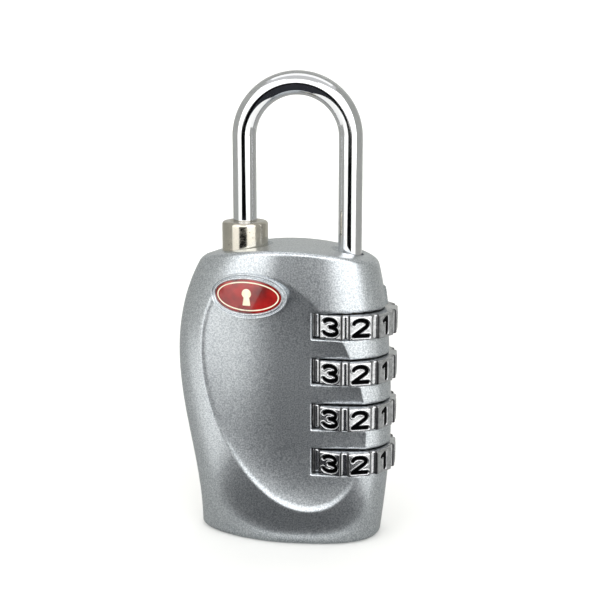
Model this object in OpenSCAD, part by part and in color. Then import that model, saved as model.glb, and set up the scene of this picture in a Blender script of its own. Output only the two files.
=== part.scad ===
// Luggage combination padlock with four dials and a key override.
// Frame: origin at the centre of the flat base, +Z up the shackle, dials towards +X,
// the badge and the digits face -Y. The rest pose is locked, at the set combination.

/* [Housing] */
// Height of the housing at its crown
body_h = 45.6; // [45.5:0.1:45.8]
// Distance from the origin to the housing's widest point on either side
body_half_w = 16.6; // [16.5:0.1:17]
// Half the thickness of the housing
body_half_t = 7.4; // [7.3:0.05:7.6]
// How much lower the top is at the sides than at the crown
crown_drop = 2; // [1:0.1:3]
// Rounding of the bottom edge
base_round = 0.8; // [0.4:0.1:1]

/* [Shackle] */
// Diameter of the shackle wire
wire_d = 3.6; // [3.4:0.02:3.64]
// Height of the shackle's crown above the base
shackle_top = 71.5; // [68:0.5:80]
// Distance that the shackle rises when it opens
lift = 5.2; // [5:0.05:5.2]

/* [Dials] */
// Distance between neighbouring dials
dial_pitch = 7.06; // [7:0.01:7.1]
// Height of the lowest dial's centre
dial_low = 13.2; // [13:0.05:13.4]
// Radius of a dial at its corner edges
dial_r = 7.6; // [7.5:0.02:7.62]
// Distance from a dial's centre to its flat digit panels
dial_flat = 7.3; // [7.2:0.02:7.35]
// Height of a dial
dial_h = 3.7; // [3.5:0.05:3.75]
// Height of a dial's window
window_h = 4; // [3.9:0.05:4.1]
// Where a window starts on the front, measured from the origin
window_x = 5; // [4.8:0.1:5.4]

/* [Code sleeves] */
// Distance that the sleeves move down to leave their dials
code_shift = 1.5; // [1.4:0.05:1.5]
// Outer radius of a sleeve
sleeve_r = 3.5; // [3.45:0.01:3.52]

/* [Key override] */
// Radius of the key plug
plug_r = 3.4; // [3.36:0.01:3.42]
// Distance that the toe collar drops when the key turns a quarter
collar_drop = 4.3; // [4:0.05:4.3]
// Radius of the toe collar
collar_r = 3.5; // [3.4:0.02:3.54]
// Top of the toe collar above the base
collar_top = 49.1; // [49:0.05:49.2]

/* [Hidden] */
$fn = 64;

// The two upright axes: the heel leg with the dials, and the toe leg with the key cylinder.
heel_x = 10;
toe_x = -6;
wire_r = wire_d / 2;
arch_r = (heel_x - toe_x) / 2;
arch_z = shackle_top - arch_r - wire_r;
arch_x = (heel_x + toe_x) / 2;
cut = 0.01;

cover_t = 1.2;        // bottom cover plate
seat_z = dial_low - 8.5;             // where the two lower springs stand
toe_end_z = collar_top - 3.5;        // end of the toe leg, inside the collar
dial_top = dial_low + 3 * dial_pitch;
heel_full_z = dial_top + 1.1;        // the heel leg keeps its full diameter above this
core_r = 1.2;         // stem of the heel leg that runs through the sleeves
core_end_z = dial_low - 7.3;
groove_z = dial_low - 6.5;           // groove for the retaining ring
lug_w = 1.1;          // width of the stem's lugs
guide_r = wire_r + 0.06;
guide_z = heel_full_z + lift - 0.3;  // the leg stays in its guide at full lift
hub_bore_r = 4.2;
hub_in_r = 2.3;       // recess in a sleeve, above and below its web
dog_low = 0.45;       // a sleeve's dogs, above its dial's centre
dog_h = 1.3;
clear_top = dog_low + dog_h - code_shift + 0.1;  // the dial's notches start above this
hub_half_h = dial_pitch / 2 - 0.02;  // half the height of a sleeve
hub_bore_top = dial_top + hub_half_h + 0.12;
strip_top = dial_top + 4.7;          // end of the detent strip
pocket_r = dial_r + 0.15;
plug_top = 16;
shell_r = 4.4;
tail_r = 2.1;
collar_low = collar_top - 9.1;
cam_low = collar_low - 13.5;
pin_z = cam_low + 2.5;               // cross pin on the plug's tail
tail_top = collar_low - 8;
guide_pin_z = collar_low - 4.8;
sleeve_out_r = 3;
sleeve_in_r = 2.2;
badge_axis = [1.12, 18.5];              // upright axis of the badge's curve
badge_floor_r = 25.4;
badge_at = [-4.7, 38.7];             // badge centre on the front, x and z
badge_half = [6.2, 3.45];
index_z = 38.1;                      // middle of the index ridge

function dial_z(i) = dial_low + (4 - i) * dial_pitch;

// ---- Housing outline -----------------------------------------------------------------
widest_left = 28.5;   // height of the widest point on the left side
widest_right = 17;
waist = 3.3;          // how far the left side draws in at the base
foot = 1.5;           // how far the right side draws in at the base

// Left side: half a cosine wave below the widest point, a quarter ellipse above it.
function left_x(z) = z < widest_left
    ? -body_half_w + waist / 2 * (1 - cos(180 * (widest_left - z) / widest_left))
    : -body_half_w + 8 * (1 - sqrt(1 - pow((z - widest_left) / 17.5, 2)));
// Right side: a curve of power 1.5 below the widest point, a quarter ellipse above it.
function right_x(z) = z < widest_right
    ? body_half_w - foot * pow((widest_right - z) / widest_right, 1.5)
    : body_half_w - 3.6 * (1 - sqrt(1 - pow((z - widest_right) / 28.5, 2)));

// Half thickness at u, from -1 at the left edge to 1 at the right edge, as a share.
function thickness(u) = u < 0 ? pow(1 - pow(-u, 1.7), 0.6) : pow(1 - pow(u, 3), 0.45);

ring_n = 56;
// One level of the housing: nominal height s, pulled in by inset.
function ring(s, inset) =
    let (rise = pow(s / body_h, 4), edge_z = s - crown_drop * rise,
         xl = left_x(edge_z) + inset, xr = right_x(edge_z) - inset,
         half_t = body_half_t - 0.25 * pow((s - 23) / 23, 2) - inset)
    [for (k = [0:ring_n - 1])
        let (a = 360 * k / ring_n, u = cos(a), x = (xl + xr) / 2 + u * (xr - xl) / 2,
             y = half_t * thickness(u) * (a < 180 ? 1 : -1))
        [x, abs(sin(a)) < 1e-6 ? 0 : y, s - crown_drop * pow((x - 0.5) / 13.2, 2) * rise]];

levels = concat(
    [[0, base_round], [0.08 * base_round, 0.6 * base_round], [0.3 * base_round, 0.28 * base_round],
     [base_round, 0]],
    [for (z = [4:3.5:42.5]) [z, 0]],
    [[body_h - 0.6, 0], [body_h - 0.18, 0.16], [body_h, 0.6]]);

module housing_blank() {
    rings = len(levels);
    points = [for (l = levels) each ring(l[0], l[1])];
    half = ring_n / 2;
    last = (rings - 1) * ring_n;
    walls = [for (j = [0:rings - 2], k = [0:ring_n - 1])
        let (a = j * ring_n + k, b = j * ring_n + (k + 1) % ring_n)
        each [[a, a + ring_n, b], [b, a + ring_n, b + ring_n]]];
    base = [[for (k = [0:ring_n - 1]) k]];
    // The top is closed by strips that run from the front edge straight to the back edge.
    crown = [for (k = [0:half - 1])
        let (a = last + k, b = last + k + 1,
             c = last + (ring_n - k - 1), d = last + (ring_n - k) % ring_n)
        each (k == 0 ? [[a, c, b]] : k == half - 1 ? [[a, d, b]] : [[a, d, c], [a, c, b]])];
    polyhedron(points, concat(walls, base, crown), convexity = 6);
}

module stadium(r_toe, r_heel) {
    hull() {
        translate([toe_x, 0]) circle(r_toe);
        translate([heel_x, 0]) circle(r_heel);
    }
}

module at(x, z) { translate([x, 0, z]) children(); }

module housing() {
    color("silver") difference() {
        union() {
            housing_blank();
            // Index ridge beside the topmost dial
            at(right_x(index_z) - 0.3, index_z - 1.2) cylinder(r = 0.5, h = 2.4);
        }
        // Windows and round pockets for the dials
        for (i = [1:4]) {
            translate([window_x, -10, dial_z(i) - window_h / 2]) cube([20, 20, window_h]);
            at(heel_x, dial_z(i) - window_h / 2) cylinder(r = pocket_r, h = window_h);
        }
        // Bore for the sleeves, with the heel leg's guide above it
        at(heel_x, cover_t - cut) cylinder(r = hub_bore_r, h = hub_bore_top - cover_t);
        at(heel_x, hub_bore_top - 1) cylinder(r = hub_in_r, h = guide_z - hub_bore_top + 1);
        at(heel_x, guide_z - 1) cylinder(r = guide_r, h = 10);
        at(heel_x, body_h - 1.2) cylinder(r = guide_r + 0.35, h = 3);
        // Stepped bore for the key cylinder, the cam sleeve and the collar
        at(toe_x, cover_t - cut) cylinder(r = shell_r + 0.03, h = 17.4 - cover_t);
        at(toe_x, 17) cylinder(r = sleeve_out_r + 0.1, h = collar_low - 20);
        at(toe_x, collar_low - collar_drop - 0.2) cylinder(r = collar_r + 0.06, h = 20);
        // Recess for the bottom cover, slot for the detent spring, holes for the screws
        translate([0, 0, -1]) linear_extrude(cover_t + 1) stadium(shell_r + 0.05, hub_bore_r + 0.05);
        translate([1.75, -2, cover_t - cut]) cube([0.7, 4, strip_top - 0.2]);
        for (y = [-2.9, 2.9]) translate([0, y, 0]) cylinder(r = 0.55, h = 5.2);
        translate([toe_x, 2.4, guide_pin_z]) rotate([-90, 0, 0]) cylinder(r = 0.46, h = 2.8);
        badge_pocket();
    }
}

module bottom_cover() {
    color("silver") difference() {
        union() {
            linear_extrude(cover_t) stadium(shell_r, hub_bore_r);
            at(heel_x, cover_t - cut) cylinder(r = hub_bore_r - 0.05, h = seat_z - cover_t + cut);
        }
        at(toe_x, -1) cylinder(r = plug_r + 0.06, h = 4);
        for (y = [-2.9, 2.9]) translate([0, y, -1]) {
            cylinder(r = 0.6, h = 4);
            cylinder(r = 1.12, h = 1.5);
        }
    }
}

module cover_screws() {
    color("gray") for (y = [-2.9, 2.9]) translate([0, y, 0]) difference() {
        union() {
            translate([0, 0, 0.05]) cylinder(r = 1.08, h = 0.45);
            translate([0, 0, 0.4]) cylinder(r = 0.54, h = 4.6);
        }
        translate([-0.75, -0.15, -0.1]) cube([1.5, 0.3, 0.35]);
        translate([-0.15, -0.75, -0.1]) cube([0.3, 1.5, 0.35]);
    }
}

// The badge lies in a shallow oval pocket whose floor is a cylinder along the front's curve.
module badge_curve(r) {
    translate([badge_axis[0], badge_axis[1], 30]) cylinder(r = r, h = 20, $fn = 240);
}
module badge_oval(grow) {
    translate([badge_at[0], 0, badge_at[1]]) rotate([90, 0, 0]) linear_extrude(20) polygon(
        [for (a = [0:6:354]) [(badge_half[0] + grow) * cos(a), (badge_half[1] + grow) * sin(a)]]);
}
module badge_pocket() {
    difference() {
        badge_oval(0.05);
        badge_curve(badge_floor_r);
    }
}
module badge() {
    color("firebrick") difference() {
        intersection() {
            badge_curve(badge_floor_r + 0.75);
            badge_oval(0);
        }
        badge_curve(badge_floor_r + 0.03);
    }
}

module shackle() {
    color("gainsboro") difference() {
        union() {
            at(heel_x, heel_full_z) cylinder(r = wire_r, h = arch_z - heel_full_z);
            translate([arch_x, 0, arch_z]) rotate([90, 0, 0])
                rotate_extrude(angle = 180) translate([arch_r, 0]) circle(wire_r);
            at(toe_x, toe_end_z) rotate_extrude() polygon(
                [[0, 0], [wire_r - 0.5, 0], [wire_r, 0.5], [wire_r, arch_z - toe_end_z],
                 [0, arch_z - toe_end_z]]);
            at(heel_x, core_end_z) cylinder(r = core_r, h = heel_full_z - core_end_z + 0.1);
            for (i = [1:4]) at(heel_x, dial_z(i) - 3.5) intersection() {
                cylinder(r = wire_r, h = 1.2);
                translate([-3, -lug_w / 2, 0]) cube([3, lug_w, 1.2]);
            }
        }
        // Groove for the retaining ring
        at(heel_x, groove_z) difference() {
            cylinder(r = 2, h = 0.7);
            translate([0, 0, -1]) cylinder(r = 0.8, h = 3);
        }
    }
}

module split_ring(r_in, r_out, h, gap) {
    difference() {
        cylinder(r = r_out, h = h);
        translate([0, 0, -1]) cylinder(r = r_in, h = h + 2);
        translate([0, -gap / 2, -1]) cube([r_out + 1, gap, h + 2]);
    }
}

module shackle_retaining_ring() {
    color("dimgray") at(heel_x, groove_z + 0.05) split_ring(0.85, 2.15, 0.6, 1.2);
}

// A coil spring along Z: mean radius r, wire radius w, from z0 to z1, in a number of turns.
module coil(r, w, z0, z1, turns) {
    sides = 6;
    steps = ceil(turns * 14);
    points = [for (k = [0:steps])
        let (a = 360 * turns * k / steps, z = z0 + w + (z1 - z0 - 2 * w) * k / steps)
        for (j = [0:sides - 1])
            let (rr = r + w * cos(360 * j / sides))
            [rr * cos(a), rr * sin(a), z + w * sin(360 * j / sides)]];
    skin = [for (k = [0:steps - 1], j = [0:sides - 1])
        let (a = k * sides + j, b = k * sides + (j + 1) % sides)
        each [[a, b, a + sides], [b, b + sides, a + sides]]];
    ends = [[for (j = [sides - 1:-1:0]) j], [for (j = [0:sides - 1]) steps * sides + j]];
    polyhedron(points, concat(skin, ends), convexity = 6);
}

module shackle_spring() { color("gray") at(heel_x, 0) coil(1.75, 0.22, seat_z, groove_z + 0.05, 2.5); }
module hub_spring() { color("gray") at(heel_x, 0) coil(3.5, 0.3, seat_z, dial_low - dial_pitch / 2, 3); }
module collar_spring() { color("gray") at(toe_x, 0) coil(1.75, 0.25, tail_top, collar_low, 6); }

// A dial, centred on its own axis: ten flat digit panels with a groove between each two.
// The upper part of its bore has ten notches for the sleeve's dogs; the lower part is clear.
module dial(z) {
    chamfer = 0.3;
    at(heel_x, z) difference() {
        intersection() {
            rotate_extrude() polygon([[0, -dial_h / 2], [dial_r - chamfer, -dial_h / 2],
                [dial_r, -dial_h / 2 + chamfer], [dial_r, dial_h / 2 - chamfer],
                [dial_r - chamfer, dial_h / 2], [0, dial_h / 2]]);
            rotate(18) cylinder(r = dial_flat / cos(18), h = 2 * dial_h, center = true, $fn = 10);
        }
        for (k = [0:9]) rotate(18 + 36 * k) translate([dial_r + 0.05, 0, -dial_h])
            cylinder(r = 0.7, h = 2 * dial_h, $fn = 24);
        cylinder(r = sleeve_r + 0.08, h = 2 * dial_h, center = true);
        translate([0, 0, -dial_h]) cylinder(r = hub_bore_r + 0.05, h = dial_h + clear_top);
        for (k = [0:9]) rotate(36 * k) translate([0, -0.6, 0]) cube([hub_bore_r, 1.2, dial_h]);
    }
}
module dial_1() { color("lightgray") dial(dial_z(1)); }
module dial_2() { color("lightgray") dial(dial_z(2)); }
module dial_3() { color("lightgray") dial(dial_z(3)); }
module dial_4() { color("lightgray") dial(dial_z(4)); }

// A code sleeve: two dogs drive it from the dial, and a slot in its web passes the lug.
module hub(z) {
    at(heel_x, z) difference() {
        union() {
            translate([0, 0, -hub_half_h]) cylinder(r = sleeve_r, h = 2 * hub_half_h);
            translate([0, 0, -hub_half_h]) cylinder(r = hub_bore_r - 0.1, h = 0.85);
            intersection() {
                translate([0, 0, dog_low]) cylinder(r = hub_bore_r - 0.1, h = dog_h);
                translate([-5, -0.5, dog_low]) cube([10, 1, dog_h]);
            }
        }
        translate([0, 0, 0.6]) cylinder(r = hub_in_r, h = 5);
        translate([0, 0, -5.6]) cylinder(r = hub_in_r, h = 5);
        cylinder(r = core_r + 0.1, h = 3, center = true);
        intersection() {
            cylinder(r = wire_r + 0.15, h = 3, center = true);
            translate([-4, -lug_w / 2 - 0.1, -1]) cube([4, lug_w + 0.2, 2]);
        }
    }
}
module hub_1() { color("darkkhaki") hub(dial_z(1)); }
module hub_2() { color("darkkhaki") hub(dial_z(2)); }
module hub_3() { color("darkkhaki") hub(dial_z(3)); }
module hub_4() { color("darkkhaki") hub(dial_z(4)); }

// A strip with one bent finger for each dial; its rounded tip rides in the dial's grooves.
module detent_spring() {
    strip_t = 0.2;
    color("gray") difference() {
        union() {
            translate([1.8, -1.7, cover_t + 0.2]) cube([strip_t, 3.4, strip_top - cover_t - 0.2]);
            for (i = [1:4]) at(1.8 + strip_t, dial_z(i) - 1) cylinder(r = 0.27, h = 2);
        }
        for (i = [1:4]) translate([1, 0, dial_z(i)]) {
            for (y = [-1.2, 0.95]) translate([0, y, -2.5]) cube([2, 0.25, 4]);
            translate([0, -1.2, 1.3]) cube([2, 2.4, 0.25]);
        }
    }
}

module collar() {
    rim = 0.55;
    bore_r = wire_r + 0.15;
    bore_depth = collar_top - toe_end_z + 0.7;
    color("silver") at(toe_x, 0) difference() {
        rotate_extrude() polygon(concat(
            [[0, collar_low], [collar_r, collar_low]],
            [for (a = [0:15:90]) [collar_r - rim + rim * cos(a), collar_top - rim + rim * sin(a)]],
            [[0, collar_top]]));
        translate([0, 0, collar_top - bore_depth]) cylinder(r = bore_r, h = bore_depth + 1);
    }
}

// The sleeve under the collar: two helical slots turn the key's quarter turn into the drop.
module collar_cam_sleeve() {
    slot_low = pin_z - 0.6;
    slot_h = collar_drop + 1.2;
    turn = 90 * slot_h / collar_drop;
    color("darkkhaki") at(toe_x, 0) difference() {
        translate([0, 0, cam_low]) cylinder(r = sleeve_out_r, h = collar_low - cam_low);
        translate([0, 0, cam_low - 1]) cylinder(r = sleeve_in_r, h = collar_low - cam_low + 2);
        translate([0, 0, slot_low]) rotate(-90 * 0.6 / collar_drop)
            linear_extrude(slot_h, twist = -turn, slices = 20) square([8, 1.8], center = true);
        translate([-0.6, 1, guide_pin_z - 0.6]) cube([1.2, 3, 7]);
    }
}

module collar_guide_pin() {
    color("gray") translate([toe_x, 2.4, guide_pin_z]) rotate([-90, 0, 0]) cylinder(r = 0.45, h = 2.7);
}

module key_cylinder() {
    color("goldenrod") at(toe_x, 0) difference() {
        translate([0, 0, cover_t + 0.05]) cylinder(r = shell_r, h = 16.5 - cover_t - 0.05);
        cylinder(r = plug_r + 0.05, h = plug_top + 0.05);
        cylinder(r = tail_r + 0.05, h = 20);
    }
}

wafer_zs = [for (k = [0:4]) 3.2 + 2.3 * k];
keyway_w = 1.3;
module key_plug() {
    color("goldenrod") at(toe_x, 0) difference() {
        union() {
            translate([0, 0, 0.4]) cylinder(r = plug_r, h = plug_top - 0.4);
            cylinder(r = tail_r, h = tail_top);
        }
        translate([0, 0, -1]) cylinder(r = plug_r + 1, h = 1.4);
        translate([-keyway_w / 2, -2.4, 0]) cube([keyway_w, 4.8, 14.2]);
        translate([-keyway_w, 0.6, 0]) cube([keyway_w, 0.9, 14.2]);
        for (z = wafer_zs) translate([-1.55, -4, z - 0.05]) cube([3.1, 8, 0.6]);
        translate([0, 0, 16.55]) difference() {
            cylinder(r = 3, h = 0.55);
            translate([0, 0, -1]) cylinder(r = 1.75, h = 3);
        }
        translate([0, 0, pin_z]) rotate([0, 90, 0]) cylinder(r = 0.51, h = 8, center = true);
    }
}

module plug_cross_pin() {
    color("gray") at(toe_x, pin_z) rotate([0, 90, 0]) cylinder(r = 0.5, h = 5.8, center = true);
}

module plug_retaining_clip() {
    color("dimgray") at(toe_x, 16.58) split_ring(1.8, 3.4, 0.45, 2);
}

// Five wafers, each with a window for the key blade, shown level with the plug.
module wafers() {
    color("khaki") for (z = wafer_zs) at(toe_x, z) difference() {
        intersection() {
            translate([-1.5, -4, 0]) cube([3, 8, 0.5]);
            translate([0, 0, -1]) cylinder(r = plug_r, h = 3);
        }
        translate([-1, -1.6, -1]) cube([2, 3.2, 3]);
    }
}

housing();
bottom_cover();
cover_screws();
badge();
shackle();
shackle_retaining_ring();
shackle_spring();
dial_1();
dial_2();
dial_3();
dial_4();
hub_1();
hub_2();
hub_3();
hub_4();
hub_spring();
detent_spring();
collar();
collar_cam_sleeve();
collar_guide_pin();
collar_spring();
key_cylinder();
key_plug();
plug_cross_pin();
plug_retaining_clip();
wafers();
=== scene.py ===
# %% [markdown]
# # A luggage padlock with four dials
#
# The real lock is a zinc casting in silver paint, with a chromed bow, a nickel collar, four plated
# dials and a small enamel badge. The frame loaded here already holds every part at its real place,
# so each piece below is a surface worked out with numpy at that place, and rides on its own body.

# %% Load the frame and its numbers
import math

import bmesh
import bpy
import mathutils
import numpy as np
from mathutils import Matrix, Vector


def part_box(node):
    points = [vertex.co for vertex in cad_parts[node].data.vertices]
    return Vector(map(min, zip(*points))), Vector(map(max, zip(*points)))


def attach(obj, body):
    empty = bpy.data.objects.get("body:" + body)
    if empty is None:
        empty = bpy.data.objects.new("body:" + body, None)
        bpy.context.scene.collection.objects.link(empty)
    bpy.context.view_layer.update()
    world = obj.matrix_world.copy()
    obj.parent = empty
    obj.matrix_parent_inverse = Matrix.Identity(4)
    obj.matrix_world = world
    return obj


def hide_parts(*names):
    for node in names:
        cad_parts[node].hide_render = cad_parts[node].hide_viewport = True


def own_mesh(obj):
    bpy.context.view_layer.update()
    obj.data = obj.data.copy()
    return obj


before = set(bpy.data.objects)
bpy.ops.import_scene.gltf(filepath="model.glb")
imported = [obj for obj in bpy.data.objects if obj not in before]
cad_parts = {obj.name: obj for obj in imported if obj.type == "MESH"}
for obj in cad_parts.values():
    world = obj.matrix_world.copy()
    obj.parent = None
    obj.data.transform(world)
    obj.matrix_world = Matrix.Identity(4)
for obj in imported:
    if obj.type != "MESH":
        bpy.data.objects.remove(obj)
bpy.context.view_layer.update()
MM = 0.001


def reach_mm(name):
    """A node's lowest and highest corner in millimetres."""
    low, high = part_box(name)
    return np.array(low) / MM, np.array(high) / MM


body_low, body_high = reach_mm("housing")
bow_low, bow_high = reach_mm("shackle")
collar_lo, collar_hi = reach_mm("collar")
dial_boxes = [reach_mm(f"dial_{i}") for i in (1, 2, 3, 4)]
dial_z = [float(lo[2] + hi[2]) / 2 for lo, hi in dial_boxes]
heel_x = 10.0
toe_x = -6.0
print("housing", body_low.round(2), body_high.round(2))
print("dial heights", np.round(dial_z, 2))

# %% [markdown]
# ## From points to a piece
#
# Every surface here is a grid: rows of points, each row joined to the next. A grid that closes on
# itself leaves no hole, and the sign of its volume says whether its faces point outwards.


# %% Mesh helpers
def grid_faces(rows, cols, wrap_rows=False, wrap_cols=True):
    """Each face joins a point to the next in its row and to the two above them."""
    i, j = np.meshgrid(np.arange(rows - (not wrap_rows)), np.arange(cols - (not wrap_cols)),
                       indexing="ij")
    i2, j2 = (i + 1) % rows, (j + 1) % cols
    return np.stack([i * cols + j, i * cols + j2, i2 * cols + j2, i2 * cols + j], -1).reshape(-1, 4)


def volume(points, quads):
    """The divergence theorem: a sixth of the sum of each triangle's corner triple product."""
    a, b, c, d = (points[quads[:, k]] for k in range(4))
    return (np.einsum("ij,ij->i", a, np.cross(b, c)) + np.einsum("ij,ij->i", a, np.cross(c, d))).sum() / 6


def mesh_from(name, points, quads, merge=False):
    """A mesh in metres from points in millimetres, its faces turned outwards, doubles merged on request."""
    points = np.asarray(points, float).reshape(-1, 3)
    if volume(points, quads) < 0:
        quads = quads[:, ::-1]
    mesh = bpy.data.meshes.new(name)
    mesh.from_pydata((points * MM).tolist(), [], quads.tolist())
    if merge:
        work = bmesh.new()
        work.from_mesh(mesh)
        bmesh.ops.remove_doubles(work, verts=work.verts, dist=1e-7)
        bmesh.ops.dissolve_degenerate(work, edges=work.edges, dist=1e-7)
        work.to_mesh(mesh)
        work.free()
    mesh.validate()
    return mesh


def place(name, mesh, body, look, replaces=(), smooth_deg=35):
    """Shades a mesh smoothly up to an angle, gives it its finish and hangs it on its body."""
    mesh.shade_smooth()
    mesh.set_sharp_from_angle(angle=math.radians(smooth_deg))
    obj = bpy.data.objects.new(name, mesh)
    bpy.context.scene.collection.objects.link(obj)
    mesh.materials.clear()
    mesh.materials.append(look)
    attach(obj, body)
    if replaces:
        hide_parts(*replaces)
    print(name, "has", len(mesh.polygons), "faces and rides on", body)
    return obj


def revolve(profile, x, n=128):
    """A lathe: each (radius, height) of the profile goes round the upright axis at x."""
    profile = np.asarray(profile, float)
    turn = np.linspace(0, 2 * np.pi, n, endpoint=False)
    r, z = profile[:, :1], profile[:, 1:]
    points = np.stack([x + r * np.cos(turn), r * np.sin(turn), z + 0 * turn], -1)
    return points.reshape(-1, 3), grid_faces(len(profile), n)


def sweep(path, radius, side, other, n):
    """A circle of its own radius at each point of a path, in the plane of the unit vectors side and other."""
    turn = np.linspace(0, 2 * np.pi, n, endpoint=False)
    ring = np.cos(turn)[None, :, None] * side[:, None] + np.sin(turn)[None, :, None] * other[:, None]
    return path[:, None] + radius[:, None, None] * ring, grid_faces(len(path), n)


def rounded(corners, radius, steps=6):
    """A profile whose inner corners become arcs: quadratic curves between points near each corner."""
    corners = [np.array(c, float) for c in corners]
    out = [corners[0]]
    for before, corner, after in zip(corners, corners[1:], corners[2:]):
        reach = [min(radius, np.linalg.norm(p - corner) / 2) for p in (before, after)]
        a = corner + (before - corner) / np.linalg.norm(before - corner) * reach[0]
        b = corner + (after - corner) / np.linalg.norm(after - corner) * reach[1]
        t = np.linspace(0, 1, steps)[:, None]
        out += list((1 - t) ** 2 * a + 2 * t * (1 - t) * corner + t ** 2 * b)
    return np.array(out + [corners[-1]])


# %% [markdown]
# ## Finishes
#
# A finish starts from what the real surface is. One function turns a colour as a painter writes it
# into the linear numbers that the renderer wants, and one adds a node with its settings and links.


# %% Colour and node helpers
def linear(hex_colour):
    """sRGB to linear: a straight line near black, and a power of 2.4 above it."""
    c = np.array([int(hex_colour[k:k + 2], 16) for k in (1, 3, 5)]) / 255
    return (*np.where(c <= 0.04045, c / 12.92, ((c + 0.055) / 1.055) ** 2.4), 1.0)


def add(tree, kind, inputs=None, **settings):
    """Adds a node. An input is a value, or another node's output socket to link."""
    made = tree.nodes.new(kind)
    for key, value in settings.items():
        setattr(made, key, value)
    for key, value in (inputs or {}).items():
        if isinstance(value, bpy.types.NodeSocket):
            tree.links.new(value, made.inputs[key])
        else:
            made.inputs[key].default_value = value
    return made


def finish(name, colour, **sockets):
    """A material with one shader whose plain values are set on its own sockets."""
    made = bpy.data.materials.new(name)
    made.use_nodes = True
    shader = made.node_tree.nodes["Principled BSDF"]
    shader.inputs["Base Color"].default_value = linear(colour)
    for key, value in sockets.items():
        shader.inputs[key.replace("_", " ")].default_value = value
    return made, made.node_tree, shader


def per_mm(size_mm):
    """A pattern's scale on Object coordinates, in metres, for features of one size in millimetres."""
    return 1 / (size_mm * MM)


def spotted(tree, where, size_mm, dark, light, detail=2.0):
    """Noise of one feature size, turned into a colour between a dark and a light one."""
    noise = add(tree, "ShaderNodeTexNoise", {"Vector": where, "Scale": per_mm(size_mm), "Detail": detail})
    ramp = add(tree, "ShaderNodeValToRGB", {"Fac": noise.outputs["Fac"]})
    ramp.color_ramp.elements[0].position = 0.34
    ramp.color_ramp.elements[1].position = 0.66
    ramp.color_ramp.elements[0].color = linear(dark)
    ramp.color_ramp.elements[1].color = linear(light)
    return ramp.outputs["Color"]


def range_of(tree, value, low, high, from_low=0.3, from_high=0.7):
    """Spreads a noise value over a useful range of roughness."""
    return add(tree, "ShaderNodeMapRange", {"Value": value, "From Min": from_low, "From Max": from_high,
                                            "To Min": low, "To Max": high}).outputs["Result"]


# %% Silver metallic paint, sprayed and baked on cast zinc
# Aluminium flakes lie nearly flat in the clear film. Each one tips its own way, so the coat sparkles
# in fine grains. The real flakes are 0.05 mm wide, and these are drawn at 0.2 mm so that they show.
paint, tree, shader = finish("silver_metallic_paint", "#BFC3C7", Metallic=0.95, Roughness=0.3,
                             Coat_Weight=0.15, Coat_Roughness=0.2)
where = add(tree, "ShaderNodeTexCoord").outputs["Object"]
flake_colour = spotted(tree, where, 0.2, "#A9AFB5", "#DCE0E3", detail=1.0)
tree.links.new(flake_colour, shader.inputs["Base Color"])
grain = add(tree, "ShaderNodeTexNoise", {"Vector": where, "Scale": per_mm(0.2), "Detail": 1.0})
tree.links.new(range_of(tree, grain.outputs["Fac"], 0.28, 0.34), shader.inputs["Roughness"])

# %% Bright chrome plate on polished steel
# Chrome copies its surroundings almost like a mirror. Handling leaves a faint haze in patches.
chrome, tree, shader = finish("bright_chrome_plate", "#DDDEE0", Metallic=1.0, Roughness=0.05)
where = add(tree, "ShaderNodeTexCoord").outputs["Object"]
haze = add(tree, "ShaderNodeTexNoise", {"Vector": where, "Scale": per_mm(3.0), "Detail": 4.0})
tree.links.new(range_of(tree, haze.outputs["Fac"], 0.03, 0.10), shader.inputs["Roughness"])

# %% Satin nickel plate with fine pits
# Nickel is warmer than chrome. The turned collar keeps a little of its tool marks and a few pits.
nickel, tree, shader = finish("satin_nickel_plate", "#C9C4B8", Metallic=1.0, Roughness=0.16)
where = add(tree, "ShaderNodeTexCoord").outputs["Object"]
pits = add(tree, "ShaderNodeTexVoronoi", {"Vector": where, "Scale": per_mm(1.1)})
pit_depth = range_of(tree, pits.outputs["Distance"], 0.0, 1.0, 0.03, 0.12)
pit_colour = add(tree, "ShaderNodeMix", {0: pit_depth, 6: linear("#4C483F"), 7: linear("#C9C4B8")},
                 data_type="RGBA")
tree.links.new(pit_colour.outputs[2], shader.inputs["Base Color"])
lathe_marks = add(tree, "ShaderNodeTexNoise", {"Vector": where, "Scale": per_mm(0.6), "Detail": 3.0})
tree.links.new(range_of(tree, lathe_marks.outputs["Fac"], 0.10, 0.22), shader.inputs["Roughness"])

# %% Plated zinc dials with black filling paint in the digits, and painted shade in their creases
# The digits are sunk in the casting, flooded with black paint and wiped clean. The mesh carries
# an attribute that is 1 in a digit and 0 outside it, and the finish reads it. The same attribute
# also rises to 1 in a thin line where each panel meets its groove: painted shade in that crease.
dial_finish, tree, shader = finish("plated_zinc_black_fill_and_crease_shade", "#CFD0D2", Metallic=1.0, Roughness=0.2)
ink_and_crease_shade = add(tree, "ShaderNodeAttribute", attribute_name="ink_and_crease_shade").outputs["Fac"]
where = add(tree, "ShaderNodeTexCoord").outputs["Object"]
wear_colour = spotted(tree, where, 0.5, "#B5B6B9", "#DCDDDF")
blend_colour = add(tree, "ShaderNodeMix", {0: ink_and_crease_shade, 6: wear_colour,
                                           7: linear("#050506")}, data_type="RGBA")
tree.links.new(blend_colour.outputs[2], shader.inputs["Base Color"])
tree.links.new(range_of(tree, ink_and_crease_shade, 0.17, 0.5, 0.0, 1.0), shader.inputs["Roughness"])

# %% Plain metals inside: spring steel and turned brass
steel, tree, shader = finish("bright_spring_steel", "#9A9BA0", Metallic=1.0, Roughness=0.28)
where = add(tree, "ShaderNodeTexCoord").outputs["Object"]
drawn_colour = spotted(tree, where, 0.8, "#86878C", "#A9AAAF")
tree.links.new(drawn_colour, shader.inputs["Base Color"])
brass, tree, shader = finish("turned_brass", "#C2A05A", Metallic=1.0, Roughness=0.3)
where = add(tree, "ShaderNodeTexCoord").outputs["Object"]
tarnish_colour = spotted(tree, where, 1.2, "#A98745", "#CDAE6C")
tree.links.new(tarnish_colour, shader.inputs["Base Color"])

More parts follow.
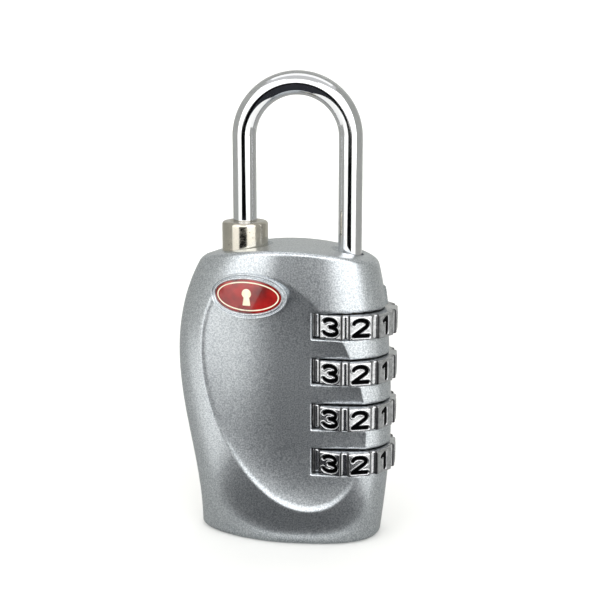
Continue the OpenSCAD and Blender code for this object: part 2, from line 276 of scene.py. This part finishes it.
# %% Glass enamel: red in the badge's field, cream in its keyhole and line
# Enamel is coloured glass fired into a tray, so it is glossy and its depth of colour varies.
red, tree, shader = finish("red_glass_enamel", "#7A0606", Roughness=0.22, Coat_Weight=1.0,
                           Coat_Roughness=0.04)
where = add(tree, "ShaderNodeTexCoord").outputs["Object"]
depth_colour = spotted(tree, where, 2.6, "#5C0404", "#98110D")
tree.links.new(depth_colour, shader.inputs["Base Color"])
cream, tree, shader = finish("cream_glass_enamel", "#E2DBC0", Roughness=0.28, Coat_Weight=0.8,
                             Coat_Roughness=0.08)
where = add(tree, "ShaderNodeTexCoord").outputs["Object"]
milk_colour = spotted(tree, where, 0.9, "#D8D0B2", "#EBE5CE")
tree.links.new(milk_colour, shader.inputs["Base Color"])
print(len(bpy.data.materials), "finishes")

# %% [markdown]
# ## The housing
#
# The casting is wide at the shoulders, drawn in at the waist on the left and domed on top. One grid
# makes it: rows go up the body, and columns go round it from the left edge, along the front and back.
# A shallow oval dish is pressed into the front by moving points along their normals, and the lips of
# the windows are rounded the same way. Real cutters then open the windows and the bores.

# %% Outline of the housing
body_h = body_high[2]
half_w = -body_low[0]
half_t = (body_high[1] - body_low[1]) / 2
crown_drop = 2.0
widest_left, widest_right = 28.5, 17.0
waist, foot = 3.3, 1.5
base_round, top_round = 0.8, 0.6
window_x, window_h = 5.0, 4.0


def left_edge(z):
    """Half a cosine wave below the widest point, a quarter ellipse above it."""
    low = -half_w + waist / 2 * (1 - np.cos(np.pi * (widest_left - z) / widest_left))
    high = -half_w + 8 * (1 - np.sqrt(1 - (np.maximum(z - widest_left, 0) / 17.5) ** 2))
    return np.where(z < widest_left, low, high)


def right_edge(z):
    """A curve of power 1.5 below the widest point, a quarter ellipse above it."""
    low = half_w - foot * (np.maximum(widest_right - z, 0) / widest_right) ** 1.5
    high = half_w - 3.6 * (1 - np.sqrt(1 - (np.maximum(z - widest_right, 0) / 28.5) ** 2))
    return np.where(z < widest_right, low, high)


def thickness(u):
    """The section's half thickness as a share: a lens on the left, a fuller round on the right."""
    left = np.maximum(1 - np.abs(u) ** 1.7, 0) ** 0.6
    right = np.maximum(1 - np.maximum(u, 0) ** 3, 0) ** 0.45
    return np.where(u < 0, left, right)


def smoothstep(x):
    """An S curve from 0 to 1 with level ends."""
    x = np.clip(x, 0, 1)
    return x * x * (3 - 2 * x)


# %% Rows and columns, closer together where the windows' lips are
lip = 0.3
lip_steps = lip * np.array([0.0, 0.1, 0.25, 0.5, 0.75, 1.0])
lip_rows = [z + side * (window_h / 2 + lip_steps) for z in dial_z for side in (-1, 1)]
plain_rows = np.arange(base_round, body_h - top_round, 0.21)
near = np.abs(plain_rows[:, None] - np.concatenate(lip_rows)[None]).min(axis=1) < 0.12
wall_rows = np.sort(np.concatenate([plain_rows[~near], *lip_rows]))
turn = np.linspace(0, np.pi / 2, 9)
rows = np.concatenate([  # nominal height, inset, share of the thickness
    [[0, base_round, share] for share in (0.0, 0.3, 0.6, 0.85)],
    np.stack([base_round * (1 - np.cos(turn)), base_round * (1 - np.sin(turn)), 1 + 0 * turn], 1)[:-1],
    np.stack([wall_rows, 0 * wall_rows, 1 + 0 * wall_rows], 1),
    np.stack([body_h - top_round * (1 - np.sin(turn)), top_round * (1 - np.cos(turn)),
              1 + 0 * turn], 1),
    [[body_h, top_round, share] for share in (0.93, 0.85, 0.7, 0.5, 0.25, 0.0)]])


def side_x(xl, xr, left, right):
    """The columns' x on each row, from the left edge to the window's edge and on to the right edge."""
    a = xl[:, None] + (window_x - xl[:, None]) * left[None]
    b = window_x + (xr[:, None] - window_x) * right[None]
    return np.concatenate([a, b[:, 1:]], axis=1)


left_reach = 20.5  # about how far the windows' edge is from the left edge
left = 1 - np.cos(np.linspace(0, np.pi / 2, 112))
right = np.sin(np.linspace(0, np.pi / 2, 72))
left = np.sort(np.concatenate([left[:-3], 1 - lip_steps / left_reach]))
s, inset, share = rows[:, 0], rows[:, 1], rows[:, 2]
rise = (s / body_h) ** 4
edge_z = s - crown_drop * rise
xl, xr = left_edge(edge_z) + inset, right_edge(edge_z) - inset
x_front = side_x(xl, xr, left, right)
x = np.concatenate([x_front, x_front[:, -2:0:-1]], axis=1)
front = np.concatenate([-np.ones(x_front.shape[1]), np.ones(x_front.shape[1] - 2)])
u = np.clip((x - (xl + xr)[:, None] / 2) / ((xr - xl)[:, None] / 2), -1, 1)
depth_here = half_t - 0.25 * ((s - 23) / 23) ** 2 - inset
y = (depth_here * share)[:, None] * thickness(u) * front
z = (s[:, None] - crown_drop * ((x - 0.5) / 13.2) ** 2 * rise[:, None]
     + 0.12 * ((s > body_h - 1e-6) * (1 - share ** 2))[:, None])
print("housing grid", x.shape, "rows and columns")

# %% [markdown]
# The dish is an oval that leans to the right at its foot. Inside it the surface drops by a small step
# at the rim and then by a bowl, and at its top right it fades out, so that side has no edge.

# %% Press the dish and round the lips
dish_centre, dish_half, dish_lean = (0.4, 23.8), (11.6, 19.2), math.radians(20.5)
dish_step, dish_depth, step_w = 0.08, 1.3, 0.05
cos_l, sin_l = math.cos(dish_lean), math.sin(dish_lean)
dx, dz = x - dish_centre[0], z - dish_centre[1]
across = (dx * cos_l + dz * sin_l) / dish_half[0]
along = (-dx * sin_l + dz * cos_l) / dish_half[1]
rho = np.sqrt(across ** 2 + along ** 2)
fade = 1 - smoothstep((z - 38) / 5)
bowl = np.maximum(1 - rho ** 4, 0) * dish_depth
dish = fade * (bowl + dish_step * smoothstep((1 - rho) / step_w)) * (front < 0) * (share > 0.99)[:, None]

# Distance to the nearest window, which runs from window_x to the right edge and round the back.
to_side = np.maximum(window_x - x, 0)
window_gap = np.min([np.hypot(to_side, np.maximum(np.abs(z - zd) - window_h / 2, 0)) for zd in dial_z],
                    axis=0)
near_lip = np.clip(window_gap / lip, 0, 1)
lip_drop = lip * (1 - np.sqrt(1 - (1 - near_lip) ** 2)) * (share > 0.99)[:, None]

# A small index ridge stands on the right side, above the topmost dial.
index_z, index_half, index_w = 38.1, 1.2, 0.45
index_gap = np.hypot(y, np.maximum(np.abs(z - index_z) - index_half, 0))
index = 0.35 * smoothstep(1 - index_gap / index_w) * (x > 12)

base = np.stack([x, y, z], -1)
tangent_u = np.roll(base, -1, 1) - np.roll(base, 1, 1)
tangent_v = np.gradient(base, axis=0)
normal = np.cross(tangent_u, tangent_v)
normal /= np.maximum(np.linalg.norm(normal, axis=-1, keepdims=True), 1e-9)
print("normals face out:", float((normal[..., 1] * y > -1e-6)[20:-10].mean()))
shaped = base - normal * (dish + lip_drop - index)[..., None]
casting = mesh_from("housing_casting", shaped, grid_faces(*x.shape), merge=True)

# %% [markdown]
# The cutters are the same shapes that the machinist would use: a slot cutter for each window, a
# stepped drill for each bore with a countersink at its mouth, and an end mill for the cover's recess.


# %% Cutters
cover_h, bore_foot = 1.2, 1.19  # the bores start just inside the recess, so the cuts meet


def prism(outline, z0, z1):
    """An outline in the XY plane carried straight up, with a centre point closing each end."""
    outline = np.asarray(outline, float)
    middle = np.broadcast_to(outline.mean(axis=0), outline.shape)
    layers = [(middle, z0), (outline, z0), (outline, z1), (middle, z1)]
    points = np.stack([np.c_[xy, np.full(len(xy), z)] for xy, z in layers])
    return points, grid_faces(4, len(outline))


def window_outline(pocket_r=7.75, n=64):
    """A block to the right of window_x, joined to the round pocket that the dial turns in."""
    start = math.acos((window_x - heel_x) / pocket_r)
    arc = np.linspace(start, 2 * np.pi - start, n)
    pocket = np.c_[heel_x + pocket_r * np.cos(arc), pocket_r * np.sin(arc)]
    return np.concatenate([[[window_x + 15, -10], [window_x + 15, 10], [window_x, 10]], pocket,
                           [[window_x, -10]]])


def stadium_outline(r_toe, r_heel, n=48):
    """Two half circles, one round each axis, joined by straight sides."""
    arc = np.linspace(-np.pi / 2, np.pi / 2, n)
    heel = np.c_[heel_x + r_heel * np.cos(arc), r_heel * np.sin(arc)]
    toe = np.c_[toe_x - r_toe * np.cos(arc), -r_toe * np.sin(arc)]
    return np.concatenate([heel, toe])


def mouth_z(x_at):
    """Height of the domed top on the middle plane."""
    return body_h - crown_drop * ((x_at - 0.5) / 13.2) ** 2


def drill(x_at, steps, mouth_r, flare=0.3):
    """A stepped drill: (radius, top) pairs, and a cone that breaks the edge at the mouth."""
    top = mouth_z(x_at)
    profile = [(0, bore_foot), (steps[0][0], bore_foot)]
    for (r, z1), (r2, _) in zip(steps, steps[1:]):
        profile += [(r, z1), (r2, z1)]
    profile += [(mouth_r, top - flare), (mouth_r + 2 * flare + 0.4, top + flare + 0.4),
                (mouth_r + 2 * flare + 0.4, top + 3), (0, top + 3)]
    return revolve(profile, x_at, 96)


def cut(mesh, cutters):
    """Takes each cutter out of the mesh in turn with a Boolean modifier, and returns the result."""
    obj = bpy.data.objects.new("blank", mesh)
    bpy.context.scene.collection.objects.link(obj)
    for n, (points, quads) in enumerate(cutters):
        tool_mesh = mesh_from(f"cutter_{n}", points, quads, merge=True)
        tool = bpy.data.objects.new(f"cutter_{n}", tool_mesh)
        bpy.context.scene.collection.objects.link(tool)
        modifier = obj.modifiers.new("cut", "BOOLEAN")
        modifier.operation, modifier.solver, modifier.object = "DIFFERENCE", "MANIFOLD", tool
        bpy.context.view_layer.update()
        result = bpy.data.meshes.new_from_object(obj.evaluated_get(bpy.context.evaluated_depsgraph_get()))
        obj.modifiers.clear()
        obj.data = result
        bpy.data.objects.remove(tool)
    result.name = mesh.name
    bpy.data.objects.remove(obj)
    return result


cutters = [prism(window_outline(), z - window_h / 2, z + window_h / 2) for z in dial_z]
heel_steps = [(4.2, dial_z[0] + 3.63), (2.3, dial_z[0] + 6.0), (1.86, 43.6), (2.1, 50)]
toe_steps = [(4.43, 17.4), (3.1, collar_lo[2] - 4.5), (3.56, 50)]
cutters.append(drill(heel_x, heel_steps, 2.1, 0.22))
cutters.append(drill(toe_x, toe_steps, 3.56, 0.2))
cutters.append(prism(stadium_outline(4.45, 4.25), -1, cover_h))
place("housing_casting", cut(casting, cutters), "case", paint, ["housing"], 30)

# %% [markdown]
# ## The bow
#
# The shackle is one steel rod, bent and then chromed. It is a circle carried along a path: up the
# stem inside the dials, up the heel leg, round the half circle and down the toe leg. The radius
# changes along the way, so one sweep makes the stem, its groove and the rounded toe.

# %% Sweep the shackle
wire_r = (bow_high[1] - bow_low[1]) / 2
arch_r = (heel_x - toe_x) / 2
arch_z = bow_high[2] - arch_r - wire_r
arch_x = (heel_x + toe_x) / 2
toe_z, stem_r = collar_hi[2] - 3.5, 1.2
seat_z, full_z = dial_z[3] - 8.5, dial_z[0] + 1.1
groove_z = seat_z + 2
stem = rounded([(0.0, bow_low[2]), (stem_r, bow_low[2]), (stem_r, groove_z), (0.8, groove_z),
                (0.8, groove_z + 0.7), (stem_r, groove_z + 0.7), (stem_r, full_z), (wire_r, full_z),
                (wire_r, full_z + 8)], 0.15, 5)
arc = np.linspace(0, np.pi, 97)
toe = rounded([(wire_r, arch_z - 1), (wire_r, toe_z), (0.0, toe_z)], 0.6, 8)
path = np.concatenate([
    np.c_[heel_x + 0 * stem[:, 0], 0 * stem[:, 0], stem[:, 1]],
    np.c_[arch_x + arch_r * np.cos(arc), 0 * arc, arch_z + arch_r * np.sin(arc)],
    np.c_[toe_x + 0 * toe[:, 0], 0 * toe[:, 0], toe[:, 1]]])
radius = np.concatenate([stem[:, 0], wire_r + 0 * arc, toe[:, 0]])
outward = np.concatenate([np.tile([1.0, 0, 0], (len(stem), 1)),
                          np.c_[np.cos(arc), 0 * arc, np.sin(arc)],
                          np.tile([-1.0, 0, 0], (len(toe), 1))])
through = np.tile([0.0, 1.0, 0], (len(path), 1))
points, quads = sweep(path, radius, outward, through, 72)
place("shackle_bow", mesh_from("shackle_bow", points, quads, merge=True),
      "shackle", chrome, ["shackle"], 40)

# %% Lugs on the stem, one under each dial's code sleeve
lug_outline = np.array([(-wire_r, -0.5), (-0.9, -0.55), (-0.9, 0.55), (-wire_r, 0.5)])
for n, zd in enumerate(dial_z, 1):
    points, quads = prism(lug_outline + [heel_x, 0], zd - 3.5, zd - 2.3)
    place(f"shackle_lug_{n}", mesh_from(f"shackle_lug_{n}", points, quads, merge=True), "shackle",
          chrome)

# %% Toe collar: a turned nickel sleeve with a rounded rim
collar_r = (collar_hi[0] - collar_lo[0]) / 2
hollow_r, hollow_z = wire_r + 0.15, toe_z - 0.7
collar_profile = rounded([(0, collar_lo[2]), (collar_r, collar_lo[2]), (collar_r, collar_hi[2]),
                          (hollow_r, collar_hi[2]), (hollow_r, hollow_z), (0, hollow_z)], 0.6, 10)
points, quads = revolve(collar_profile, toe_x, 128)
place("toe_collar", mesh_from("toe_collar", points, quads, merge=True), "collar",
      nickel, ["collar"], 40)

# %% [markdown]
# ## The dials
#
# A dial is a ring with ten flat digit panels and a groove between each two. Its radius is a function
# of the angle, and a digit is sunk wherever a point lies closer to that digit's centre line than half
# a stroke. The strokes are arcs and straight lines, so the digits are our own plain numerals.


# %% Centre lines of the ten digits
def arc_line(cx, cy, rx, ry, a0, a1, n=20):
    """Points on an ellipse from one angle to another, in degrees."""
    a = np.radians(np.linspace(a0, a1, n))
    return np.c_[cx + rx * np.cos(a), cy + ry * np.sin(a)]


def line(*points):
    """Straight strokes through the points."""
    return np.array(points, float)


digits = [
    [arc_line(0, 0, 0.82, 1, 0, 360, 36)],
    [line((-0.42, 0.62), (0.08, 1), (0.08, -1))],
    [np.concatenate([arc_line(0, 0.45, 0.78, 0.55, 165, -35, 18), line((-0.8, -1), (0.85, -1))])],
    [arc_line(-0.06, 0.5, 0.74, 0.5, 155, -90, 22), arc_line(-0.04, -0.5, 0.82, 0.5, 90, -155, 22)],
    [line((0.4, -1), (0.4, 1), (-0.8, -0.45), (0.88, -0.45))],
    [np.concatenate([line((0.72, 1), (-0.6, 1), (-0.7, 0.1)), arc_line(-0.02, -0.36, 0.8, 0.64, 128, -150)])],
    [arc_line(0, -0.38, 0.8, 0.62, 0, 360, 32), arc_line(0.75, -0.4, 1.55, 1.4, 180, 105, 16)],
    [line((-0.78, 1), (0.8, 1), (-0.2, -1))],
    [arc_line(0, 0.5, 0.66, 0.5, 0, 360, 28), arc_line(0, -0.5, 0.8, 0.5, 0, 360, 32)],
    [arc_line(0, 0.38, 0.8, 0.62, 0, 360, 32), arc_line(-0.75, 0.4, 1.55, 1.4, 0, -75, 16)],
]


def stroke_distance(t, z, strokes):
    """Distance from each point to the nearest piece of the strokes, all pieces at once."""
    starts = np.concatenate([k[:-1] for k in strokes])
    ends = np.concatenate([k[1:] for k in strokes])
    way = ends - starts
    rel = np.stack([t, z], -1)[..., None, :] - starts
    along = np.clip((rel * way).sum(-1) / np.maximum((way ** 2).sum(-1), 1e-9), 0, 1)
    return np.linalg.norm(rel - along[..., None] * way, axis=-1).min(axis=-1)


# %% One dial as a function of angle and height
dial_h = dial_boxes[0][1][2] - dial_boxes[0][0][2]
flat_r, corner_r, groove_r, groove_at = 7.3, 7.6, 0.7, 7.65
edge_r, bore_r = 0.28, 4.25
digit_half = np.array([1.34, 1.17])
stroke_half, sink = 0.31, 0.14
panel_cols = 58
half_panel = math.radians(18)
beta = np.linspace(-half_panel, half_panel, panel_cols, endpoint=False)


def outline_r(b):
    """Radius at angle b from a panel's middle: the flat, softly joined to the groove at its ends."""
    flat = np.minimum(flat_r / np.cos(b), corner_r)
    off = half_panel - np.abs(b)
    inside = np.maximum(groove_r ** 2 - (groove_at * np.sin(off)) ** 2, 0)
    groove = np.where(inside > 0, groove_at * np.cos(off) - np.sqrt(inside), 99.0)
    soft = 0.05
    return -soft * np.log(np.exp(-(flat - 7) / soft) + np.exp(-(groove - 7) / soft)) + 7


quarter = np.linspace(0, np.pi / 2, 6)
face_z = np.linspace(-dial_h / 2 + edge_r, dial_h / 2 - edge_r, 46)
profile_in = np.concatenate([edge_r * (1 - np.sin(quarter)), 0 * face_z[1:-1],
                             edge_r * (1 - np.cos(quarter))])
profile_z = np.concatenate([-dial_h / 2 + edge_r * (1 - np.cos(quarter)), face_z[1:-1],
                            dial_h / 2 - edge_r * (1 - np.sin(quarter))])
outer = outline_r(beta)[None] - profile_in[:, None]
# A thin black line of painted shade runs in each corner where a panel meets its groove.
off_mm = groove_at * np.sin(half_panel - np.abs(beta))
crease_shade = np.exp(-((off_mm - 0.6) / 0.14) ** 2)[None] + 0 * outer
tangential = flat_r * np.tan(beta)[None] + 0 * outer
height = profile_z[:, None] + 0 * outer


def dial_grid():
    """All ten panels side by side. Digit 0 faces +X, and the next ones follow towards the front."""
    radii, ink_and_shade = [], []
    for k in range(10):
        strokes = digits[(10 - k) % 10]
        d = stroke_distance(tangential, height, [points * digit_half for points in strokes])
        ink_here = smoothstep((stroke_half + 0.03 - d) / 0.06)
        raised = 0.04 * np.exp(-((d - stroke_half - 0.12) / 0.05) ** 2)
        radii.append(outer - sink * ink_here + raised)
        # The painted crease shade goes into the same values as the digits' black paint.
        ink_and_shade.append(np.maximum(ink_here, crease_shade))
    return np.concatenate(radii, axis=1), np.concatenate(ink_and_shade, axis=1)


radii, ink_and_shade = dial_grid()
angle = (np.radians(36 * np.arange(10))[:, None] + beta[None]).reshape(-1)
face_r = np.full((2, len(angle)), bore_r) + np.array([[0.0], [1.6]])
all_r = np.concatenate([face_r, radii, face_r[::-1]])
all_z = np.concatenate([[-dial_h / 2] * 2, profile_z, [dial_h / 2] * 2])
all_ink_and_shade = np.concatenate([0 * face_r, ink_and_shade, 0 * face_r])
# The inked share counts the painted crease shade as well as the digits.
print("dial grid", all_r.shape, "inked share", round(float((ink_and_shade > 0.5).mean()), 3))

# %% Four dials from the same grid
for n, zd in enumerate(dial_z, 1):
    points = np.stack([heel_x + all_r * np.cos(angle), all_r * np.sin(angle),
                       zd + all_z[:, None] + 0 * all_r], -1)
    dial_mesh = mesh_from(f"dial_{n}_ring", points, grid_faces(*all_r.shape, wrap_rows=True))
    # This attribute carries the digits' black paint and the painted crease shade.
    layer = dial_mesh.attributes.new("ink_and_crease_shade", "FLOAT", "POINT")
    layer.data.foreach_set("value", all_ink_and_shade.reshape(-1).astype(np.float32))
    place(f"dial_{n}_ring", dial_mesh, f"dial_{n}", dial_finish, [f"dial_{n}"], 50)

# %% [markdown]
# ## The badge
#
# A small oval tray, cast with a raised double rim, holds red enamel and a cream keyhole. The front of
# the housing is close to a cylinder there, so the badge is worked out flat and wrapped round it.

# %% Badge on its cylinder
badge_lo, badge_hi = reach_mm("badge")
badge_x, _, badge_z = (badge_lo + badge_hi) / 2
wrap_x, wrap_y, wrap_r = 1.12, 18.5, 25.85
wrap_at = math.asin((badge_x - wrap_x) / wrap_r)
oval = (badge_hi - badge_lo)[[0, 2]] / 2
oval_turn = np.linspace(0, 2 * np.pi, 160, endpoint=False)


def wrapped(across_mm, up_mm, height_mm):
    """Flat coordinates to the front: across becomes an angle round the cylinder, height its radius."""
    a = wrap_at + across_mm / wrap_r
    r = wrap_r + height_mm
    return np.stack([wrap_x + r * np.sin(a), wrap_y - r * np.cos(a), badge_z + up_mm], -1)


def oval_band(profile):
    """A rim: each (inset, height) of a closed profile runs round the oval, pulled in by its inset."""
    profile = np.asarray(profile, float)
    inset, height = profile[:, :1], profile[:, 1:]
    return wrapped((oval[0] - inset) * np.cos(oval_turn), (oval[1] - inset) * np.sin(oval_turn),
                   height + 0 * oval_turn)


def disc(edge_r, height_fn, n_ring=14):
    """A filled shape: its outline shrinks to its middle in rings, and drops at the edge to close below."""
    share = np.concatenate([[0.0, 1.0], np.linspace(1, 0, n_ring)])[:, None]
    across_mm, up_mm = share * edge_r[:, 0], share * edge_r[:, 1]
    top = height_fn(share) + 0 * across_mm
    top[:2] = -0.3
    return wrapped(across_mm, up_mm, top)


rim_profile = rounded([(0.1, -0.42), (0.0, 0.0), (0.06, 0.26), (0.28, 0.26), (0.36, 0.08),
                       (0.5, 0.08), (0.58, 0.29), (0.84, 0.29), (0.92, 0.0), (0.92, -0.3),
                       (0.4, -0.42), (0.2, -0.42)], 0.09, 5)
rim = oval_band(rim_profile)
place("badge_rim", mesh_from("badge_rim", rim, grid_faces(*rim.shape[:2], wrap_rows=True)),
      "case", paint, ["badge"], 40)

field_inset = 0.9
field = np.c_[(oval[0] - field_inset) * np.cos(oval_turn), (oval[1] - field_inset) * np.sin(oval_turn)]
points = disc(field, lambda share: 0.02 + 0.16 * (1 - share ** 2))
place("badge_enamel", mesh_from("badge_enamel", points, grid_faces(*points.shape[:2]), merge=True),
      "case", red, smooth_deg=60)

line_profile = [(1.25, -0.1), (1.25, 0.11), (1.31, 0.14), (1.37, 0.14), (1.43, 0.12), (1.43, -0.1)]
points = oval_band(line_profile)
quads = grid_faces(*points.shape[:2], wrap_rows=True)
place("badge_cream_line", mesh_from("badge_cream_line", points, quads),
      "case", cream)

# The keyhole is drawn from the middle of its round head: each direction ends at the head, a flank or the foot.
head_r, head_up, foot_z, neck_w, foot_w = 0.72, 0.42, -1.35, 0.34, 0.62
sine, cosine = np.sin(oval_turn), np.cos(oval_turn)
down = np.maximum(-sine, 1e-6)
drop = head_up - foot_z
flank = neck_w / np.maximum(np.abs(cosine) - (foot_w - neck_w) / drop * down, 1e-6)
skirt = np.where(sine < 0, np.minimum(flank, drop / down), 0)
key_r = np.maximum(head_r, skirt)
keyhole = np.c_[key_r * cosine, key_r * sine]
points = disc(keyhole, lambda share: 0.25 + 0.05 * (1 - share ** 4))
points = points + np.array([0, 0, head_up])
place("badge_keyhole", mesh_from("badge_keyhole", points, grid_faces(*points.shape[:2]), merge=True),
      "case", cream)

# %% [markdown]
# ## Springs and the pieces inside
#
# A coil spring is a round wire carried along a helix, and each one gets a mesh of its own.
# The other inner pieces keep their CAD shapes.


# %% Coil springs
def spring(name, x_at, mean_r, wire, z0, z1, turns, node, body):
    """A helix: the angle and the height grow together along the wire, and its ends are closed flat."""
    t = np.linspace(0, 1, int(turns * 40))
    a = 2 * np.pi * turns * t
    path = np.c_[x_at + mean_r * np.cos(a), mean_r * np.sin(a), z0 + wire + (z1 - z0 - 2 * wire) * t]
    side = np.c_[np.cos(a), np.sin(a), 0 * a]
    path = np.concatenate([path[:1], path, path[-1:]])
    side = np.concatenate([side[:1], side, side[-1:]])
    radius = np.full(len(path), wire)
    radius[[0, -1]] = 0
    tangent = np.gradient(path[1:-1], axis=0)
    tangent /= np.linalg.norm(tangent, axis=1)[:, None]
    tangent = np.concatenate([tangent[:1], tangent, tangent[-1:]])
    other = np.cross(tangent, side)
    points, quads = sweep(path, radius, side, other, 12)
    obj = place(name, mesh_from(name, points, quads, merge=True), body, steel, [node])
    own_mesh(obj)


pitch = dial_z[2] - dial_z[3]
tail_z = collar_lo[2] - 8
spring("shackle_lift_coil", heel_x, 1.75, 0.22, seat_z, groove_z + 0.05, 2.5, "shackle_spring", "case")
spring("hub_return_coil", heel_x, 3.5, 0.3, seat_z, dial_z[3] - pitch / 2, 3, "hub_spring", "case")
spring("collar_return_coil", toe_x, 1.75, 0.25, tail_z, collar_lo[2], 6, "collar_spring", "key")

# %% Finishes for the CAD pieces that stay
kept = {
    "bottom_cover": paint, "cover_screws": steel, "shackle_retaining_ring": steel,
    "detent_spring": steel, "collar_cam_sleeve": brass, "collar_guide_pin": steel,
    "key_cylinder": brass, "key_plug": brass, "plug_cross_pin": steel,
    "plug_retaining_clip": steel, "wafers": brass,
    "hub_1": brass, "hub_2": brass, "hub_3": brass, "hub_4": brass,
}
for name, look in kept.items():
    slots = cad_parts[name].data.materials
    slots.clear()
    slots.append(look)
print("CAD pieces kept:", ", ".join(kept))

# %% [markdown]
# ## Stage, light and camera
#
# Polished metal shows its surroundings, so the set is what makes it look like chrome: a pale bowl
# all round, a large soft box on each side, a black flag in front that the bow mirrors as a line, and
# grey flags at the sides, above and behind that it mirrors along its edges.

# %% Stage
bowl_profile = rounded([(0, -0.05), (1500, -0.05), (1500, 1200)], 700, 40)
points, quads = revolve(bowl_profile, 0.0, 96)
stage_mesh = bpy.data.meshes.new("stage_bowl")
stage_mesh.from_pydata((points * MM).tolist(), [], quads.tolist())
stage_mesh.shade_smooth()
backdrop = bpy.data.objects.new("stage_bowl", stage_mesh)
bpy.context.scene.collection.objects.link(backdrop)
pale, tree, shader = finish("pale_matt_board", "#F6F6F4", Roughness=0.6)
where = add(tree, "ShaderNodeTexCoord").outputs["Object"]
fibre_colour = spotted(tree, where, 40.0, "#F3F3F1", "#F8F8F6")
tree.links.new(fibre_colour, shader.inputs["Base Color"])
stage_mesh.materials.append(pale)


def flag(name, corners_mm, colour):
    """A flat card that only reflections see."""
    mesh = bpy.data.meshes.new(name)
    mesh.from_pydata((np.array(corners_mm, float) * MM).tolist(), [], [(0, 1, 2, 3)])
    card = bpy.data.objects.new(name, mesh)
    bpy.context.scene.collection.objects.link(card)
    felt, _, _ = finish(name + "_felt", colour, Roughness=0.9, Specular_IOR_Level=0.0)
    mesh.materials.append(felt)
    card.visible_camera = card.visible_diffuse = card.visible_shadow = False


flag("near_flag", [(-27, -9, 0.8), (25, -9, 0.8), (72, -215, 8), (-90, -215, 8)], "#2E2F33")
flag("front_flag", [(-90, -215, 8), (72, -215, 8), (140, -600, 45), (-200, -600, 45)], "#060607")
# Grey cards make a small open room behind the lock: w is its half width and depth, h its height.
w, h, card_z, grey = 190, 320, 0.8, "#A0A19F"
flag("floor_flag", [(-w, -9, 0.2), (w, -9, 0.2), (w, w, 0.2), (-w, w, 0.2)], grey)
flag("back_flag", [(-w, w, card_z), (w, w, card_z), (w, w, h), (-w, w, h)], "#A6A7A5")
flag("left_flag", [(-w, -120, card_z), (-w, w, card_z), (-w, w, h), (-w, -120, h)], grey)
flag("right_flag", [(w, -110, card_z), (w, w, card_z), (w, w, h), (w, -110, h)], grey)
flag("top_flag", [(-w, 20, h), (w, 20, h), (w, w, h), (-w, w, h)], grey)


def soft_box(name, position_mm, target_mm, width, height, watts):
    """An area light that points at a target and isn't seen by the camera."""
    light = bpy.data.lights.new(name, "AREA")
    light.shape, light.size, light.size_y, light.energy = "RECTANGLE", width, height, watts
    obj = bpy.data.objects.new(name, light)
    bpy.context.scene.collection.objects.link(obj)
    place_v = np.array(position_mm, float) * MM
    aim = np.array(target_mm, float) * MM - place_v
    obj.rotation_euler = mathutils.Vector(aim).to_track_quat("-Z", "Y").to_euler()
    obj.location = place_v
    obj.visible_camera = False


middle = (0, 0, 35)
soft_box("left_box", (-400, -420, 220), middle, 0.5, 0.6, 1.1)
soft_box("right_box", (400, -430, 240), middle, 0.62, 0.6, 2.15)
soft_box("front_box", (-40, -480, 210), middle, 0.5, 0.28, 0.6)
soft_box("top_box", (0, 60, 700), middle, 0.8, 0.6, 1.0)
soft_box("wall_light", (0, 450, 900), (0, 1500, 250), 1.4, 0.5, 9)

world = bpy.data.worlds.new("studio")
bpy.context.scene.world = world
world.use_nodes = True
world.node_tree.nodes["Background"].inputs["Color"].default_value = linear("#FFFFFF")
world.node_tree.nodes["Background"].inputs["Strength"].default_value = 0.75

# %% Camera at the viewing angle, aimed a little right of the lock's middle
azimuth, pitch, distance = math.radians(7), math.radians(11.8), 173.7
aim = np.array([2.4, 0, 36.95])
way = np.array([math.sin(azimuth) * math.cos(pitch), -math.cos(azimuth) * math.cos(pitch), math.sin(pitch)])
camera_data = bpy.data.cameras.new("camera")
camera_data.lens, camera_data.sensor_width = 68, 36
camera_data.clip_start = 0.01
camera = bpy.data.objects.new("camera", camera_data)
bpy.context.scene.collection.objects.link(camera)
camera.location = (aim + distance * way) * MM
camera.rotation_euler = (math.pi / 2 - pitch, 0, azimuth)
bpy.context.scene.camera = camera
bpy.context.scene.view_settings.view_transform = "Standard"
